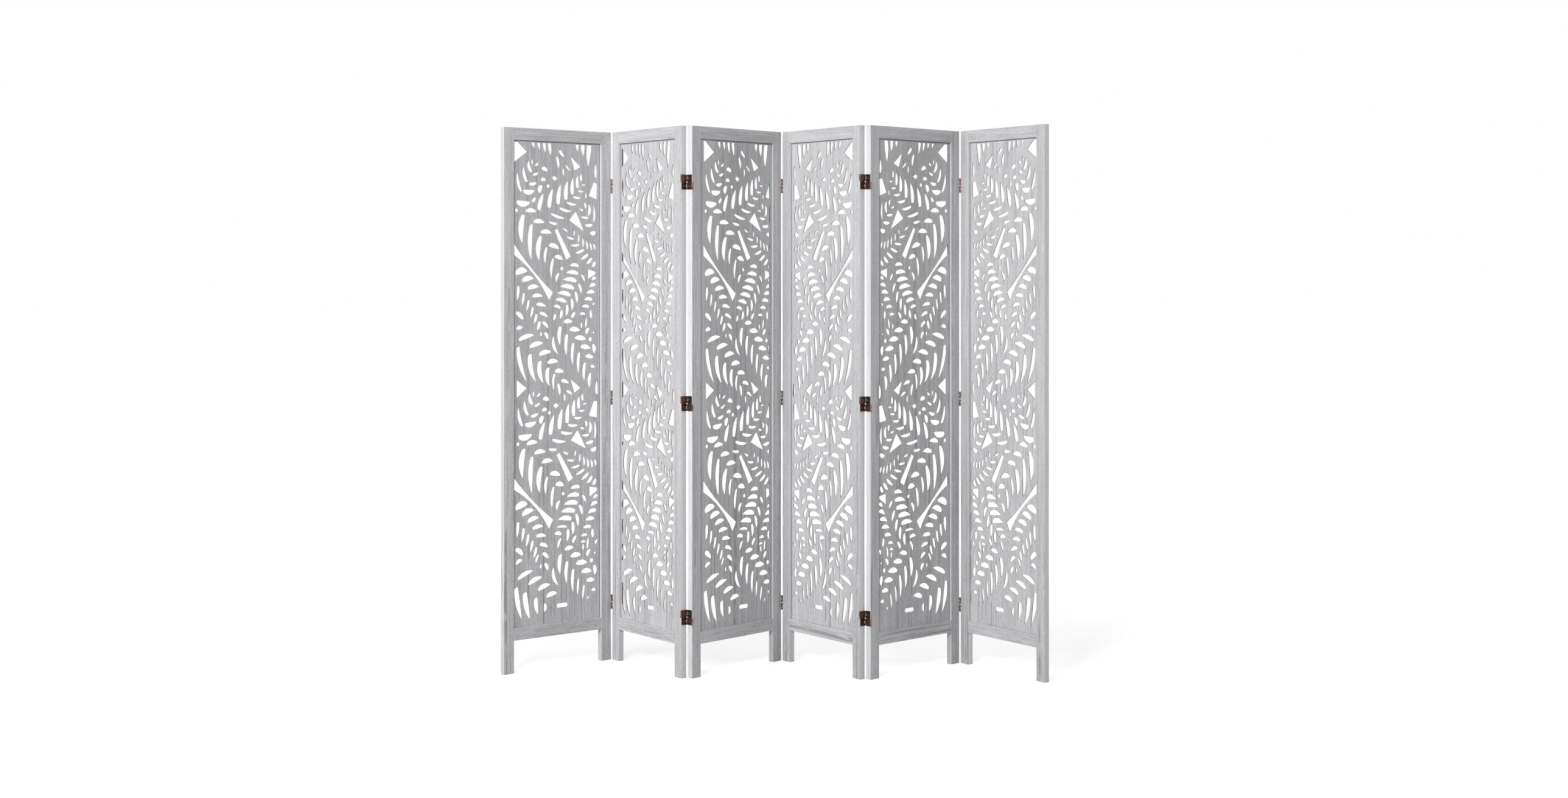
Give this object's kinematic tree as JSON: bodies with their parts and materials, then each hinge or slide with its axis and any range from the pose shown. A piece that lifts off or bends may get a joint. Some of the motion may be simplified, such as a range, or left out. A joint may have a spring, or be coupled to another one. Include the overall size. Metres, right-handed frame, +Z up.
{
  "type": "folding screen",
  "caption": "Free-standing folding screen of hinged wooden panels, each a stile-and-rail frame round a thin board pierced with leaf slots, joined by two-way hinges.",
  "frame": {"origin": "middle of the footprint's box, on the floor", "axes": "+Z up, +X along the run of the screen from panel 1 to panel 6, the pictured side towards -Y"},
  "size_m": [1.695, 0.3426, 1.7],
  "materials": {
    "frame_wood": "grey-white wash, satin, open grain",
    "board_wood": "grey-white wash, satin, fine upright grain",
    "dowel_wood": "bare, fluting left out",
    "hinge_metal": "antique bronze, satin",
    "pin_metal": "antique bronze, satin",
    "screw_metal": "antique bronze, satin"
  },
  "bodies": {
    "panel_1": {"panel_1_left_stile": "frame_wood", "panel_1_right_stile": "frame_wood", "panel_1_top_rail": "frame_wood", "panel_1_bottom_rail": "frame_wood", "panel_1_pierced_board": "board_wood", "panel_1_dowels": "dowel_wood", "panel_1_hinge_leaves": "hinge_metal", "panel_1_hinge_links": "hinge_metal", "panel_1_hinge_pins": "pin_metal", "panel_1_hinge_screws": "screw_metal"},
    "panel_2": {"panel_2_left_stile": "frame_wood", "panel_2_right_stile": "frame_wood", "panel_2_top_rail": "frame_wood", "panel_2_bottom_rail": "frame_wood", "panel_2_pierced_board": "board_wood", "panel_2_dowels": "dowel_wood", "panel_2_hinge_leaves": "hinge_metal", "panel_2_hinge_links": "hinge_metal", "panel_2_hinge_pins": "pin_metal", "panel_2_hinge_screws": "screw_metal"},
    "panel_3": {"panel_3_left_stile": "frame_wood", "panel_3_right_stile": "frame_wood", "panel_3_top_rail": "frame_wood", "panel_3_bottom_rail": "frame_wood", "panel_3_pierced_board": "board_wood", "panel_3_dowels": "dowel_wood", "panel_3_hinge_leaves": "hinge_metal", "panel_3_hinge_links": "hinge_metal", "panel_3_hinge_pins": "pin_metal", "panel_3_hinge_screws": "screw_metal"},
    "panel_4": {"panel_4_left_stile": "frame_wood", "panel_4_right_stile": "frame_wood", "panel_4_top_rail": "frame_wood", "panel_4_bottom_rail": "frame_wood", "panel_4_pierced_board": "board_wood", "panel_4_dowels": "dowel_wood", "panel_4_hinge_leaves": "hinge_metal", "panel_4_hinge_links": "hinge_metal", "panel_4_hinge_pins": "pin_metal", "panel_4_hinge_screws": "screw_metal"},
    "panel_5": {"panel_5_left_stile": "frame_wood", "panel_5_right_stile": "frame_wood", "panel_5_top_rail": "frame_wood", "panel_5_bottom_rail": "frame_wood", "panel_5_pierced_board": "board_wood", "panel_5_dowels": "dowel_wood", "panel_5_hinge_leaves": "hinge_metal", "panel_5_hinge_links": "hinge_metal", "panel_5_hinge_pins": "pin_metal", "panel_5_hinge_screws": "screw_metal"},
    "panel_6": {"panel_6_left_stile": "frame_wood", "panel_6_right_stile": "frame_wood", "panel_6_top_rail": "frame_wood", "panel_6_bottom_rail": "frame_wood", "panel_6_pierced_board": "board_wood", "panel_6_dowels": "dowel_wood", "panel_6_hinge_leaves": "hinge_metal", "panel_6_hinge_links": "hinge_metal", "panel_6_hinge_pins": "pin_metal", "panel_6_hinge_screws": "screw_metal"}
  },
  "joints": [
    {"name": "fold_1", "type": "hinge", "parent": "panel_1", "child": "panel_2", "pos_m": [-0.54872, 0.13018, 0], "axis": [0, 0, -1], "range_deg": [-92.8, 87.2]},
    {"name": "fold_2", "type": "hinge", "parent": "panel_2", "child": "panel_3", "pos_m": [-0.26165, -0.15412, 0], "axis": [0, 0, 1], "range_deg": [-100.6, 79.4]},
    {"name": "fold_3", "type": "hinge", "parent": "panel_3", "child": "panel_4", "pos_m": [0.00062, 0.1532, 0], "axis": [0, 0, -1], "range_deg": [-100.7, 79.3]},
    {"name": "fold_4", "type": "hinge", "parent": "panel_4", "child": "panel_5", "pos_m": [0.2872, -0.13159, 0], "axis": [0, 0, 1], "range_deg": [-96.2, 83.8]},
    {"name": "fold_5", "type": "hinge", "parent": "panel_5", "child": "panel_6", "pos_m": [0.57278, 0.1542, 0], "axis": [0, 0, -1], "range_deg": [-98, 82]}
  ]
}
